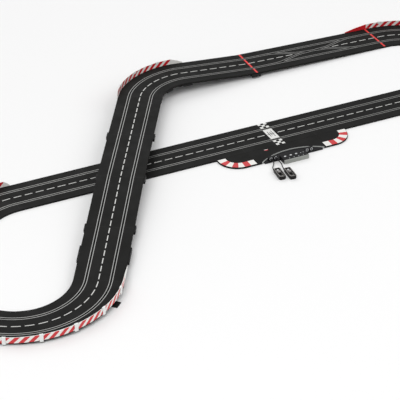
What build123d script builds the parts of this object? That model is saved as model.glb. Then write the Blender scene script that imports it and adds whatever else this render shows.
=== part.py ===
from build123d import *
import os
from math import asin, cos, degrees, pi, radians, sin, tan

# Figure-of-eight slot-racing circuit, scale 1:32, with a flyover, a powered connecting
# section and two hand controllers.  Millimetres, +Z up.  The origin is on the floor where
# the bridge crosses the main straight, and +X runs along that straight.

# ---- circuit ---------------------------------------------------------------------------
STRAIGHT = 345.0                              # length of a standard straight
TURN = 60.0                                   # angle of a standard curve
RADIUS = STRAIGHT * sin(radians(TURN))        # centre line, so that the lap closes exactly
TRACK_W = 198.0
TRACK_T = 8.0
HALF_W = TRACK_W / 2
LANE = 49.5                                   # each slot's distance from the centre line
RETURN_Y = 2 * RADIUS                         # centre line of the lane change and the ramp

# ---- cross-section of the track ----------------------------------------------------------
SLOT_W = 3.2
SLOT_D = 6.5
RAIL_PITCH = 10.8                             # between the two contact rails of a lane
RAIL_W = 2.9
RAIL_GROOVE = 1.2
RAIL_PROUD = 0.15
FIT = 0.1                                     # groove wider than the rail
CEILING = 5.0                                 # height of the hollow underneath
SKIRT = 2.5
CHANNEL_WALL = 2.0
CENTRE_RIB = 4.0
EDGE_CHAMFER = 0.7

# ---- height of the track's underside at each joint ---------------------------------------
Z_LANE_CHANGE_END = 20.0
Z_RAMP_TOP = 52.0
Z_BRIDGE = (68.0, 71.0, 71.0, 46.0, 24.0)     # from the top-left curve down to the left loop
Z_LEFT_LOOP = (24.0, 10.0, 0.0)

# ---- guard rails ---------------------------------------------------------------------------
GUARD_GAP = 1.5                               # track's edge to the guard rail
GUARD_T = 2.0
GUARD_LOW = 6.0
GUARD_HIGH = 32.0
GUARD_SEAM = 0.3                              # gap between a curve's guard rail and its end
GUARD_TIP = 4.0                               # height left at the thin end of a tapered end
GUARD_KNEE = 16.0                             # height at the knee of a tapered end
GUARD_KNEE_AT = 0.55                          # the knee's share of the length
LONG_END = 115.0
LEFT_LOOP_END = 92.0
RAMP_END_L = 62.0
SHORT_END = 26.0
POST_ANGLES = (10.0, 30.0, 50.0)              # three clip-on posts for each curve
POST_L = 15.0
POST_T = 2.4
POST_Z = (1.0, 4.0)                           # underside and top of the arm
POST_SIDE_GAP = 0.15
POST_CAP_GAP = 0.6                            # above the guard rail, which may rise along the post
POST_CAP_T = 1.6
POST_LIP = 8.0                                # hook over the guard rail's inner face

# ---- supports ------------------------------------------------------------------------------
HEAD_T = 8.0
HEAD_L = 44.0
LIP_T = 5.5
LIP_GAP = 0.3
LIP_HIGH = 4.0
COLUMN_R = 8.0
COLUMNS_TWO = (-62.0, 62.0)                   # under the bridge, each side of the centre line
COLUMNS_ONE = (0.0,)                          # under the ramp and the curve above it
FOOT_R = 18.0
FOOT_T = 3.0
HEAD_DROP = 1.2                               # head's top below the track's underside
LONG_HEAD_L = 98.0                            # head half way along the last bridge straight
LONG_HEAD_DROP = 0.3
FOOT_CHAMFER = 1.0
LOW_BLOCK_HALF = 80.0
LOW_BLOCK_ANGLE = -46.5
LOW_BLOCK_Z = 20.15                           # track's underside above the first low block
LOW_BLOCK_DROP = 1.4
LOW_BLOCK_L = 18.0
LOW_FOOT_OUT = 12.5                           # foot showing outside the track's edge
LOW_FOOT_T = 4.0
END_BLOCK_DROP = 1.0
END_BLOCK_L = 14.0
CLIP_T = 1.8
CLIP_L = 24.0
CLIP_W = 12.0
CLIP_HOOK_X = 9.0
CLIP_HOOK_L = 4.0
CLIP_HOOK_W = 16.0
CLIP_Z = 2.7                                  # middle of a lock clip, above the underside
CLIP_OUT = 76.0

# ---- apron beside the connecting section ----------------------------------------------------
APRON_MID = 690.0                             # middle of the connecting section
APRON_GAP = 0.4
APRON_FRONT = -202.0
APRON_HALF = 310.0
APRON_CORNER = 93.0
CUTOUT_X = 697.0
CUTOUT_TOP = -153.0
CUTOUT_R = 258.0
APRON_SEAM = 0.2                              # half the gap between two apron pieces
APRON_CHAMFER = 0.5
RIM_T = 2.5
RIM_HIGH = 9.5
RIM_GAP = 0.1
RIM_HALF = 150.0
RIM_OVER = 5.0

# ---- control unit ----------------------------------------------------------------------------
UNIT_W = 118.0
UNIT_FRONT = -247.0
UNIT_BACK = -195.0
UNIT_H = 20.0
UNIT_WALL = 2.0
BASE_T = 6.0
FACE_T = 2.0
WING_FRONT = -208.0
WING_HALF = 140.0
BUTTON_Y = -218.0
LAMP_Y = -237.0
BUTTON_X = (648.0, 675.0, 701.0)
BUTTON_RX = 5.5
BUTTON_RY = 3.5
BUTTON_PROUD = 1.8
LAMPS = ((723.0, BUTTON_Y), (736.0, BUTTON_Y), (660.0, LAMP_Y), (682.0, LAMP_Y),
         (704.0, LAMP_Y), (726.0, LAMP_Y))
LAMP_R = 2.2
LAMP_L = 5.4
LAMP_PROUD = 0.6
LAMP_SEAT = 1.0                               # depth of the lamp's hole below the top
LAMP_GAP = 0.05
COVER_CORNER = 4.0
COVER_CHAMFER = 0.8
FACE_GAP = 0.1                                # between the front face and the rest
FACE_CORNER = 1.5
FACE_FOOT_GAP = 0.2
TAB_IN = 20.0                                 # the front face's tabs, from each side
TAB_HALF = 4.0
TAB_Y = 3.0
TAB_Z = (14.5, 16.5)
TRAY_SIDE = 14.0                              # hollow for the board, in from each side
TRAY_FRONT = 8.0
TRAY_BACK = 3.0
TRAY_FLOOR = 2.5
BASE_GAP = 0.5                                # between the base and the apron's rim
BASE_LAP = 5.0
CUTTER = 1.0                                  # how far a cutting shape runs past a face
BOARD_Z = 8.0
BOARD_T = 1.6
BOARD_FRONT = 6.0
BOARD_BACK = 5.0
CHIPS = ((660.0, -224.0, 18.0, 12.0, 2.0), (700.0, -228.0, 12.0, 12.0, 1.6),
         (724.0, -222.0, 8.0, 16.0, 3.0))     # middle, size and height of each component
BUTTON_FLANGE = 1.2
BUTTON_ROUND = 0.5
SOCKET_Y = -200.0                             # front faces of the socket blocks
SOCKET_Z = 12.5
SOCKET_R = 4.0
SOCKET_D = 12.0
SOCKET_BLOCK_D = 14.5
SOCKET_BLOCK_H = 19.0
SOCKETS_LEFT = (590.0, 613.0)
SOCKETS_RIGHT = (764.0, 785.0)
SOCKET_BLOCK_END = 10.0                       # block past its outermost socket
SOCKET_BLOCK_CORNER = 3.0
PLUG_R = 5.5
PLUG_L = 12.0
PLUG_CHAMFER = 0.8
SHANK_L = 8.0
SHANK_GAP = 0.05
CUT = 0.3                                     # running gap round a moving piece

# ---- case screws -------------------------------------------------------------------------------
UNIT_SCREW_SIDE = 8.0
UNIT_SCREW_FRONT = 10.0
UNIT_SCREW_BACK = 8.0
HAND_SCREW_END = 6.0
SCREW_HEAD_R = 2.8
SCREW_HEAD_T = 1.8
SCREW_R = 1.3
SCREW_SUNK = 0.4                              # head's face above the underside
SCREW_CROSS_L = 3.4
SCREW_CROSS_W = 0.7
SCREW_CROSS_D = 0.9
SCREW_HOLE_R = 1.5
SCREW_PILOT_R = 1.35
SCREW_SINK_R = 3.0
SCREW_SINK_D = 2.2
UNIT_SCREW_L = 12.0
HAND_SCREW_L = 11.0
UNIT_BOSS_R = 3.2
UNIT_PILOT_D = 8.0
HAND_BOSS_R = 3.6

# ---- hand controllers, each in its own frame: centre on the floor, cord end at +Y --------------
HAND_L = 76.0
HAND_W = 30.0
HAND_H = 17.0
HAND_SPLIT = 11.0
HAND_CORNER = 8.0
HAND_WALL = 1.8
HAND_FLOOR = 2.0
HAND_CHAMFER = 1.2
INNER_CORNER_MIN = 1.0
WELL_INSET = 3.6
WELL_D = 4.6
RELIEF_X = -10.0
RELIEF_Z = 6.5
RELIEF_R = 3.5
RELIEF_L = 7.0
THROTTLE_Y = 6.0
THROTTLE_TRAVEL = 18.0
THROTTLE_L = 15.0
THROTTLE_W = 14.0
THROTTLE_H = 5.2
THROTTLE_CORNER = 3.0
THROTTLE_ROUND = 1.0
STEM_W = 5.0
STEM_L = 7.0
SLOT_END_GAP = 2.0
LANE_BUTTON_Y = 22.0
LANE_BUTTON_R = 4.2
LANE_BUTTON_L = 6.6
LANE_BUTTON_SEAT = 3.0                        # its underside below the well's floor
LANE_BUTTON_ROUND = 0.8
HANDS = ((571.5, -317.5, -5.0), (613.5, -333.2, -4.5))

# ---- cords: routes from the plug to the strain relief -------------------------------------------
CORD_D = 4.0
BEND_SHARE = 0.45                             # of the shorter run, used up by each bend
CORD_ROUTES = (
    ((590.0, -212.0, 12.5), (590.0, -221.0, 12.5), (587.6, -230.5, 11.7), (582.6, -239.0, 10.3),
     (576.6, -246.8, 8.7), (570.2, -254.6, 7.3), (566.2, -263.33, 6.5), (565.46, -271.8, 6.5)),
    ((613.0, -212.0, 12.5), (613.0, -227.0, 12.5), (615.2, -243.5, 10.8), (612.4, -260.0, 8.0),
     (608.004, -275.591, 6.5), (607.062, -287.554, 6.5)),
)

# ---- lane change, flat in its own frame: right-hand end at x = 0 --------------------------------
CHANGE_L = 2 * STRAIGHT
CHANGE_SEAM = 0.25
CROSS_PATH = ((-75.0, LANE), (-145.0, LANE), (-270.0, 7.0), (-420.0, -7.0), (-545.0, -LANE),
              (-615.0, -LANE))
CROSS_RADIUS = 150.0
FLIPPER_X = -163.0                            # pivot, on the web where the two slots part
FLIPPER_IN = 3.1                              # pivot's distance inside the straight slot
FLIPPER_HUB_R = 1.5
FLIPPER_TIP_R = 0.6
FLIPPER_L = 34.0
FLIPPER_SWING = 8.0
FLIPPER_PLAY = 0.5                            # pocket wider than the flipper
FLIPPER_RAIL_GAP = 0.4
FLIPPER_LOW = 0.5                             # flipper's underside above the slot's floor
FLIPPER_H = SLOT_D - 1.0
COIL = (34.0, 16.0, 3.6)
CORE = (10.0, 5.0, 2.4)
CORE_X = 22.0
COIL_BEHIND = 10.0
COIL_OUT = 18.0
COIL_Z = 2.6
CHANGE_PLACE = Pos(4.5 * STRAIGHT, RETURN_Y, 0) * Rot(0, degrees(asin(Z_LANE_CHANGE_END / CHANGE_L)), 0)


def unit(angle):
    return Vector(cos(radians(angle)), sin(radians(angle)), 0)


# ======================================================================================
#  Runs: a flat cross-section carried along a straight or a curve.
#  The section's x is the distance from the centre line: to the left of the heading on a
#  straight, and away from the centre on a curve.  Its y is the height above the underside.
# ======================================================================================
def straight_run(section, start, heading, length, z0, z1):
    along = unit(heading)
    left = unit(heading + 90)
    plane = Plane(origin=start + Vector(0, 0, z0), x_dir=left, z_dir=along)
    rise = along * length + Vector(0, 0, z1 - z0)
    return extrude(plane * section, amount=rise.length, dir=rise)


def curve_run(section, centre, angle0, angle1, z0, z1):
    if z1 < z0:
        angle0, angle1, z0, z1 = angle1, angle0, z1, z0
    face = Plane.XZ * section
    turn = angle1 - angle0
    if z0 == z1:
        solid = revolve(Pos(RADIUS, 0, 0) * face, axis=Axis.Z, revolution_arc=abs(turn))
        if turn < 0:
            solid = Rot(0, 0, turn) * solid
    else:
        rise = z1 - z0
        helix = Helix(rise * 360 / abs(turn), rise, RADIUS, lefthand=turn < 0)
        solid = sweep(Pos(RADIUS, 0, 0) * face, path=helix, is_frenet=True)
    return Pos(centre.X, centre.Y, z0) * Rot(0, 0, angle0) * solid


def box_section(x0, x1, y0, y1):
    return Pos((x0 + x1) / 2, (y0 + y1) / 2) * Rectangle(x1 - x0, y1 - y0)


def track_section():
    section = box_section(-HALF_W, HALF_W, 0, TRACK_T)
    section = chamfer(section.vertices().group_by(Axis.Y)[-1], EDGE_CHAMFER)
    for side in (-1, 1):
        slot = side * LANE
        section -= box_section(slot - SLOT_W / 2, slot + SLOT_W / 2, TRACK_T - SLOT_D, TRACK_T + 1)
        for rail in (-RAIL_PITCH / 2, RAIL_PITCH / 2):
            half = (RAIL_W + FIT) / 2
            section -= box_section(slot + rail - half, slot + rail + half,
                                   TRACK_T - RAIL_GROOVE, TRACK_T + 1)
        channel = SLOT_W / 2 + CHANNEL_WALL
        inner = sorted((side * CENTRE_RIB / 2, side * (LANE - channel)))
        outer = sorted((side * (LANE + channel), side * (HALF_W - SKIRT)))
        section -= box_section(inner[0], inner[1], -1, CEILING)
        section -= box_section(outer[0], outer[1], -1, CEILING)
    return section


def rail_sections():
    sections = []
    for side in (-1, 1):
        for rail in (-RAIL_PITCH / 2, RAIL_PITCH / 2):
            x = side * LANE + rail
            sections.append(box_section(x - RAIL_W / 2, x + RAIL_W / 2,
                                        TRACK_T - RAIL_GROOVE, TRACK_T + RAIL_PROUD))
    return sections


def guard_section():
    inner = HALF_W + GUARD_GAP
    return box_section(inner, inner + GUARD_T, GUARD_LOW, GUARD_HIGH)


# ======================================================================================
#  The layout: every piece of the lap, in driving order
# ======================================================================================
def main_straights():
    start = -1.5 * STRAIGHT
    for index in range(6):
        name = "connecting_straight" if index == 3 else f"main_straight_{index + 1}"
        yield name, Vector(start + index * STRAIGHT, 0), 0, 0, 0


BRIDGE_TOP = unit(TURN) * (1.5 * STRAIGHT)
BRIDGE_HEADING = 180 + TURN


def bridge_straights():
    for index in range(4):
        at = BRIDGE_TOP + unit(BRIDGE_HEADING) * (index * STRAIGHT)
        yield f"bridge_straight_{index + 1}", at, BRIDGE_HEADING, Z_BRIDGE[index], Z_BRIDGE[index + 1]


RIGHT_CENTRE = Vector(4.5 * STRAIGHT, RADIUS)
TOP_LEFT_CENTRE = Vector(1.5 * STRAIGHT, RADIUS)
LEFT_CENTRE = Vector(-2 * STRAIGHT, -RETURN_Y)
RETURN_CENTRE = Vector(-1.5 * STRAIGHT, -RADIUS)
CHANGE_START = Vector(4.5 * STRAIGHT, RETURN_Y)
RAMP_START = Vector(2.5 * STRAIGHT, RETURN_Y)
RAMP_END = Vector(1.5 * STRAIGHT, RETURN_Y)
BRIDGE_FOOT = BRIDGE_TOP + unit(BRIDGE_HEADING) * (4 * STRAIGHT)
LEFT_START = LEFT_CENTRE + unit(90 + TURN) * RADIUS
LEFT_END = LEFT_START + unit(TURN) * STRAIGHT

STRAIGHTS = [*main_straights(),
             ("ramp_straight", RAMP_START, 180, Z_LANE_CHANGE_END, Z_RAMP_TOP),
             *bridge_straights(),
             ("left_straight", LEFT_START, TURN, 0, 0)]

CURVES = [("curve_right_1", RIGHT_CENTRE, -90, -30, 0, 0),
          ("curve_right_2", RIGHT_CENTRE, -30, 30, 0, 0),
          ("curve_right_3", RIGHT_CENTRE, 30, 90, 0, 0),
          ("curve_top_left", TOP_LEFT_CENTRE, 90, 150, Z_RAMP_TOP, Z_BRIDGE[0]),
          ("curve_left_1", LEFT_CENTRE, -30, -90, Z_LEFT_LOOP[0], Z_LEFT_LOOP[1]),
          ("curve_left_2", LEFT_CENTRE, -90, -150, Z_LEFT_LOOP[1], Z_LEFT_LOOP[2]),
          ("curve_left_3", LEFT_CENTRE, -150, -210, 0, 0),
          ("curve_left_4", RETURN_CENTRE, 150, 90, 0, 0)]

# Slopes along the driving direction.
RAMP_SLOPE = (Z_RAMP_TOP - Z_LANE_CHANGE_END) / STRAIGHT
CHANGE_SLOPE = Z_LANE_CHANGE_END / CHANGE_L
ARC = radians(TURN) * RADIUS
TOP_SLOPE = (Z_BRIDGE[0] - Z_RAMP_TOP) / ARC
BRIDGE_SLOPES = [(Z_BRIDGE[i + 1] - Z_BRIDGE[i]) / STRAIGHT for i in range(4)]
LOOP_SLOPES = [(Z_LEFT_LOOP[i + 1] - Z_LEFT_LOOP[i]) / ARC for i in range(2)]


# ======================================================================================
#  Lane change: two straight lanes, two crossing lanes and a flipper at each entry
# ======================================================================================
def cross_lane(mirror, shift=0.0):
    points = [(x, mirror * y + shift) for x, y in CROSS_PATH]
    return FilletPolyline(points, radius=CROSS_RADIUS)


def straight_lane(side, shift=0.0):
    return Line((0, side * LANE + shift), (-CHANGE_L, side * LANE + shift))


def lane_lines(width, shifts, lengthen=0.0):
    lines = Sketch()
    for side in (-1, 1):
        for shift in shifts:
            lines += trace(straight_lane(side, shift), line_width=width)
            lines += trace(cross_lane(side, shift), line_width=width)
    return lines


def change_outline():
    return Pos(-CHANGE_L / 2, 0) * Rectangle(CHANGE_L - 2 * CHANGE_SEAM, TRACK_W)


def change_slots(widen=0.0):
    return lane_lines(SLOT_W + widen, (0.0,))


def change_rails(width):
    rails = lane_lines(width, (-RAIL_PITCH / 2, RAIL_PITCH / 2))
    return (rails - change_slots(2 * CHANNEL_WALL)) & change_outline()


def flipper_outline(grow=0.0):
    hub = Circle(FLIPPER_HUB_R + grow)
    return make_hull([*hub.edges(), *(Pos(FLIPPER_L, 0) * Circle(FLIPPER_TIP_R + grow)).edges()])


def flipper_place(side):
    return Pos(FLIPPER_X, side * (LANE - FLIPPER_IN), 0)


def flipper_pocket():
    pocket = Sketch()
    for side in (-1, 1):
        for turn in range(int(FLIPPER_SWING) + 1):
            pocket += flipper_place(side) * Rot(0, 0, side * turn) * flipper_outline(FLIPPER_PLAY)
    return pocket


def lane_change_track():
    body = extrude(change_outline(), TRACK_T)
    body -= Pos(0, 0, TRACK_T - SLOT_D) * extrude(change_slots(), TRACK_T)
    body -= Pos(0, 0, TRACK_T - SLOT_D) * extrude(flipper_pocket(), TRACK_T)
    body -= Pos(0, 0, TRACK_T - RAIL_GROOVE) * extrude(change_rails(RAIL_W + FIT), TRACK_T)
    for side in (-1, 1):
        near = LANE + SLOT_W / 2 + CHANNEL_WALL
        far = HALF_W - SKIRT
        body -= Pos(-CHANGE_L / 2, side * (near + far) / 2, CEILING / 2 - 1) * \
            Box(CHANGE_L, far - near, CEILING + 2)
    return CHANGE_PLACE * body


def lane_change_rails():
    strip = extrude(change_rails(RAIL_W) - flipper_clearance(), RAIL_GROOVE + RAIL_PROUD)
    return CHANGE_PLACE * Pos(0, 0, TRACK_T - RAIL_GROOVE) * strip


def flipper_clearance():
    return offset(flipper_pocket(), FLIPPER_RAIL_GAP)


def lane_change_flipper(side):
    blade = extrude(flipper_outline(), FLIPPER_H)
    return CHANGE_PLACE * Pos(0, 0, TRACK_T - SLOT_D + FLIPPER_LOW) * flipper_place(side) * blade


def lane_change_actuator(side):
    coil = Box(*COIL) + Pos(CORE_X, 0, 0) * Box(*CORE)
    return CHANGE_PLACE * Pos(FLIPPER_X - COIL_BEHIND, side * (LANE + COIL_OUT), COIL_Z) * coil


# ======================================================================================
#  Guard rails, their tapered ends and their posts
# ======================================================================================
def guard_end(joint, z, side_angle, away, slope, length):
    """A tapered end, from a curve's last joint out along the next straight."""
    side = unit(side_angle)
    corner = joint + Vector(0, 0, z) + side * (HALF_W + GUARD_GAP)
    knee = length * GUARD_KNEE_AT
    outline = make_face(Polyline((GUARD_SEAM, GUARD_LOW), (length, GUARD_LOW + slope * length),
                                 (length, GUARD_LOW + slope * length + GUARD_TIP),
                                 (knee, GUARD_LOW + GUARD_KNEE + slope * knee),
                                 (GUARD_SEAM, GUARD_HIGH), close=True))
    plane = Plane(origin=corner, x_dir=unit(away), z_dir=unit(away).cross(Vector(0, 0, 1)))
    blade = extrude(plane * outline, GUARD_T)
    if plane.z_dir.dot(side) < 0:
        blade = Pos(*(side * GUARD_T)) * blade
    return blade


def guard_post(centre, angle, z):
    near = HALF_W + POST_SIDE_GAP
    back = HALF_W + GUARD_GAP + GUARD_T + POST_SIDE_GAP
    low, arm_top = POST_Z
    cap = GUARD_HIGH + POST_CAP_GAP
    section = box_section(near, back + POST_T, low, arm_top)
    section += box_section(back, back + POST_T, low, cap + POST_CAP_T)
    section += box_section(near, back + POST_T, cap, cap + POST_CAP_T)
    section += box_section(near, HALF_W + GUARD_GAP - POST_SIDE_GAP, GUARD_HIGH - POST_LIP, cap + POST_CAP_T)
    post = extrude(Plane.XZ * section, amount=POST_L / 2, both=True)
    return Pos(centre.X, centre.Y, z) * Rot(0, 0, angle) * Pos(RADIUS, 0, 0) * post


def guard_posts():
    posts = []
    for _, centre, angle0, angle1, z0, z1 in CURVES:
        for at in POST_ANGLES:
            share = at / TURN
            posts.append(guard_post(centre, angle0 + (angle1 - angle0) * share, z0 + (z1 - z0) * share))
    return posts


def guard_ends():
    main_start = Vector(-1.5 * STRAIGHT, 0)
    main_end = Vector(4.5 * STRAIGHT, 0)
    return [guard_end(CHANGE_START, 0, 90, 180, CHANGE_SLOPE, LONG_END),
            guard_end(main_end, 0, -90, 180, 0, LONG_END),
            guard_end(RAMP_END, Z_RAMP_TOP, 90, 0, -RAMP_SLOPE, RAMP_END_L),
            guard_end(BRIDGE_TOP, Z_BRIDGE[0], 150, 240, BRIDGE_SLOPES[0], SHORT_END),
            guard_end(BRIDGE_FOOT, Z_BRIDGE[4], -30, 60, -BRIDGE_SLOPES[3], LEFT_LOOP_END),
            guard_end(LEFT_START, 0, 150, 60, 0, LEFT_LOOP_END),
            guard_end(LEFT_END, 0, 150, 240, 0, LEFT_LOOP_END),
            guard_end(main_start, 0, 90, 0, 0, SHORT_END)]


# ======================================================================================
#  Supports of the raised stretch
# ======================================================================================
def on_curve(centre, angle):
    return centre + unit(angle) * RADIUS


def supports():
    """Place, heading, underside height, slope, head length, gap under the track, lips, columns."""
    slope = (CHANGE_SLOPE + RAMP_SLOPE) / 2
    yield RAMP_START, 180, Z_LANE_CHANGE_END, slope, HEAD_L, HEAD_DROP, True, COLUMNS_ONE
    slope = (RAMP_SLOPE + TOP_SLOPE) / 2
    yield RAMP_END, 180, Z_RAMP_TOP, slope, HEAD_L, HEAD_DROP, False, COLUMNS_ONE
    middle = (Z_RAMP_TOP + Z_BRIDGE[0]) / 2
    place = on_curve(TOP_LEFT_CENTRE, 120)
    yield place, 210, middle, TOP_SLOPE, HEAD_L, HEAD_DROP, False, COLUMNS_ONE
    slopes = [TOP_SLOPE, *BRIDGE_SLOPES, LOOP_SLOPES[0]]
    for index, z in enumerate(Z_BRIDGE):
        at = BRIDGE_TOP + unit(BRIDGE_HEADING) * (index * STRAIGHT)
        slope = (slopes[index] + slopes[index + 1]) / 2
        between_straights = 0 < index < 4
        yield at, BRIDGE_HEADING, z, slope, HEAD_L, HEAD_DROP, between_straights, COLUMNS_TWO
    half_way = BRIDGE_TOP + unit(BRIDGE_HEADING) * (3.5 * STRAIGHT)
    middle = (Z_BRIDGE[3] + Z_BRIDGE[4]) / 2
    slope = BRIDGE_SLOPES[3]
    yield half_way, BRIDGE_HEADING, middle, slope, LONG_HEAD_L, LONG_HEAD_DROP, True, COLUMNS_TWO


def support_head(at, heading, z, slope, length, drop, lips):
    top = -drop
    reach = HALF_W if not lips else HALF_W + LIP_GAP + LIP_T
    section = box_section(-reach, reach, top - HEAD_T, top)
    if lips:
        for side in (-1, 1):
            inner = side * (HALF_W + LIP_GAP)
            outer = side * reach
            section += box_section(min(inner, outer), max(inner, outer), top - HEAD_T, LIP_HIGH)
    start = at - unit(heading) * (length / 2)
    rise = slope * length
    return straight_run(section, start, heading, length, z - rise / 2, z + rise / 2)


def support_feet(at, heading, z, slope, drop, columns):
    top = z - drop - HEAD_T - abs(slope) * COLUMN_R
    foot = Cylinder(FOOT_R, FOOT_T, align=(Align.CENTER, Align.CENTER, Align.MIN))
    foot = chamfer(foot.edges().group_by(Axis.Z)[-1], FOOT_CHAMFER)
    column = Cylinder(COLUMN_R, top, align=(Align.CENTER, Align.CENTER, Align.MIN))
    for out in columns:
        place = at + unit(heading + 90) * out
        yield Pos(*place) * (foot + column)


def low_blocks():
    """One-piece low supports under the first curve of the left loop."""
    half = LOW_BLOCK_HALF
    first = box_section(-half, half, 0, LOW_BLOCK_Z - LOW_BLOCK_DROP)
    first += box_section(-half, HALF_W + LOW_FOOT_OUT, 0, LOW_FOOT_T)
    last = box_section(-half, half, 0, Z_LEFT_LOOP[1] - END_BLOCK_DROP)
    for section, angle, length in ((first, LOW_BLOCK_ANGLE, LOW_BLOCK_L), (last, -90, END_BLOCK_L)):
        bar = extrude(Plane.XZ * section, amount=length, both=True)
        yield Pos(*on_curve(LEFT_CENTRE, angle)) * Rot(0, 0, angle) * bar


def lock_clips():
    """Two clips under each joint, in the hollow of the two pieces that they hold together."""
    joints = [(start, heading, z) for _, start, heading, z, _ in STRAIGHTS]
    joints += [(on_curve(centre, angle), angle + 90, z) for _, centre, angle, _, z, _ in CURVES]
    joints.append((CHANGE_START, 180, 0))
    bar = Box(CLIP_L, CLIP_W, CLIP_T)
    for end in (-CLIP_HOOK_X, CLIP_HOOK_X):
        bar += Pos(end, 0, 0) * Box(CLIP_HOOK_L, CLIP_HOOK_W, CLIP_T)
    for at, heading, z in joints:
        for side in (-1, 1):
            yield Pos(at.X, at.Y, z + CLIP_Z) * Rot(0, 0, heading) * Pos(0, side * CLIP_OUT, 0) * bar


# ======================================================================================
#  Apron
# ======================================================================================
def hollow_plate(outline):
    plate = extrude(outline, TRACK_T)
    plate = chamfer(plate.edges().group_by(Axis.Z)[-1], APRON_CHAMFER)
    return plate - extrude(offset(outline, -SKIRT, kind=Kind.INTERSECTION), CEILING)


def cutout_circle(radius):
    return Pos(CUTOUT_X, CUTOUT_TOP - CUTOUT_R) * Circle(radius)


def apron_back():
    return -HALF_W - APRON_GAP


def apron_centre():
    half = STRAIGHT / 2 - APRON_SEAM
    outline = Pos(APRON_MID, 0) * box_section(-half, half, APRON_FRONT, apron_back())
    return hollow_plate(outline - cutout_circle(CUTOUT_R))


def apron_end(side):
    outline = box_section(STRAIGHT / 2 + APRON_SEAM, APRON_HALF, APRON_FRONT, apron_back())
    corner = outline.vertices().sort_by(Axis.X)[-2:].sort_by(Axis.Y)[0]
    outline = fillet(corner, APRON_CORNER)
    if side < 0:
        outline = mirror(outline, about=Plane.YZ)
    return hollow_plate(Pos(APRON_MID, 0) * outline)


def apron_rim():
    ring = cutout_circle(CUTOUT_R - RIM_GAP) - cutout_circle(CUTOUT_R - RIM_T)
    window = Pos(CUTOUT_X, 0) * box_section(-RIM_HALF, RIM_HALF, APRON_FRONT, CUTOUT_TOP + RIM_OVER)
    return extrude(ring & window, RIM_HIGH)


# ======================================================================================
#  Control unit
# ======================================================================================
def plate(x0, x1, y0, y1, z0, z1):
    return Pos((x0 + x1) / 2, (y0 + y1) / 2, (z0 + z1) / 2) * Box(x1 - x0, y1 - y0, z1 - z0)


def unit_sides():
    return APRON_MID - UNIT_W / 2, APRON_MID + UNIT_W / 2


def unit_screws():
    x0, x1 = unit_sides()
    for x in (x0 + UNIT_SCREW_SIDE, x1 - UNIT_SCREW_SIDE):
        for y in (UNIT_FRONT + UNIT_SCREW_FRONT, UNIT_BACK - UNIT_SCREW_BACK):
            yield x, y


def standing(radius, length):
    return Cylinder(radius, length, align=(Align.CENTER, Align.CENTER, Align.MIN))


def screw(length):
    head = standing(SCREW_HEAD_R, SCREW_HEAD_T)
    head -= Pos(0, 0, SCREW_SUNK) * Box(SCREW_CROSS_L, SCREW_CROSS_W, SCREW_CROSS_D)
    head -= Pos(0, 0, SCREW_SUNK) * Box(SCREW_CROSS_W, SCREW_CROSS_L, SCREW_CROSS_D)
    return Pos(0, 0, SCREW_SUNK) * (head + standing(SCREW_R, length))


def screw_hole(length):
    return standing(SCREW_SINK_R, SCREW_SINK_D) + standing(SCREW_HOLE_R, length)


def control_unit_base():
    x0, x1 = unit_sides()
    window = Pos(CUTOUT_X, 0) * box_section(-WING_HALF, WING_HALF, WING_FRONT, CUTOUT_TOP)
    outline = (cutout_circle(CUTOUT_R - RIM_T - BASE_GAP) & window)
    outline += box_section(x0, x1, UNIT_FRONT + FACE_T + FACE_GAP, WING_FRONT + BASE_LAP)
    base = extrude(outline, BASE_T)
    base -= plate(x0 + TRAY_SIDE, x1 - TRAY_SIDE, UNIT_FRONT + TRAY_FRONT, UNIT_BACK - TRAY_BACK,
                  TRAY_FLOOR, BASE_T + CUTTER)
    for x, y in unit_screws():
        base -= Pos(x, y, 0) * screw_hole(BASE_T + CUTTER)
    return base


def button_outline(grow=0.0):
    return Ellipse(BUTTON_RX + grow, BUTTON_RY + grow)


def control_unit_cover():
    x0, x1 = unit_sides()
    front = UNIT_FRONT + FACE_T + FACE_GAP
    cover = plate(x0, x1, front, UNIT_BACK, BASE_T, UNIT_H)
    edges = cover.edges().filter_by(Axis.Z).sort_by(Axis.Y)[-2:]
    cover = fillet(edges, COVER_CORNER)
    cover = chamfer(cover.edges().group_by(Axis.Z)[-1], COVER_CHAMFER)
    cover -= plate(x0 + UNIT_WALL, x1 - UNIT_WALL, front - CUTTER, UNIT_BACK - UNIT_WALL,
                   BASE_T - CUTTER, UNIT_H - UNIT_WALL)
    for x, y in unit_screws():
        boss = standing(UNIT_BOSS_R, UNIT_H - UNIT_WALL - BASE_T)
        boss -= standing(SCREW_PILOT_R, UNIT_PILOT_D)
        cover += Pos(x, y, BASE_T) * boss
    for x in BUTTON_X:
        cover -= Pos(x, BUTTON_Y, UNIT_H - 2 * UNIT_WALL) * extrude(button_outline(CUT), 3 * UNIT_WALL)
    for x, y in LAMPS:
        cover -= Pos(x, y, UNIT_H - LAMP_SEAT) * Cylinder(LAMP_R + LAMP_GAP, 4 * LAMP_SEAT)
    return cover


def control_unit_front():
    x0, x1 = unit_sides()
    face = plate(x0, x1, UNIT_FRONT, UNIT_FRONT + FACE_T, FACE_FOOT_GAP, UNIT_H)
    face = fillet(face.edges().filter_by(Axis.Z).sort_by(Axis.Y)[:2], FACE_CORNER)
    back = UNIT_FRONT + FACE_T
    for x in (x0 + TAB_IN, x1 - TAB_IN):
        face += plate(x - TAB_HALF, x + TAB_HALF, back - FACE_GAP, back + TAB_Y, *TAB_Z)
    return face


def unit_button(x):
    cap = extrude(button_outline(), UNIT_WALL + CUT + BUTTON_PROUD)
    cap = fillet(cap.edges().group_by(Axis.Z)[-1], BUTTON_ROUND)
    flange = Pos(0, 0, -BUTTON_FLANGE) * extrude(button_outline(BUTTON_FLANGE), BUTTON_FLANGE)
    return Pos(x, BUTTON_Y, UNIT_H - UNIT_WALL - CUT) * (cap + flange)


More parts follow.
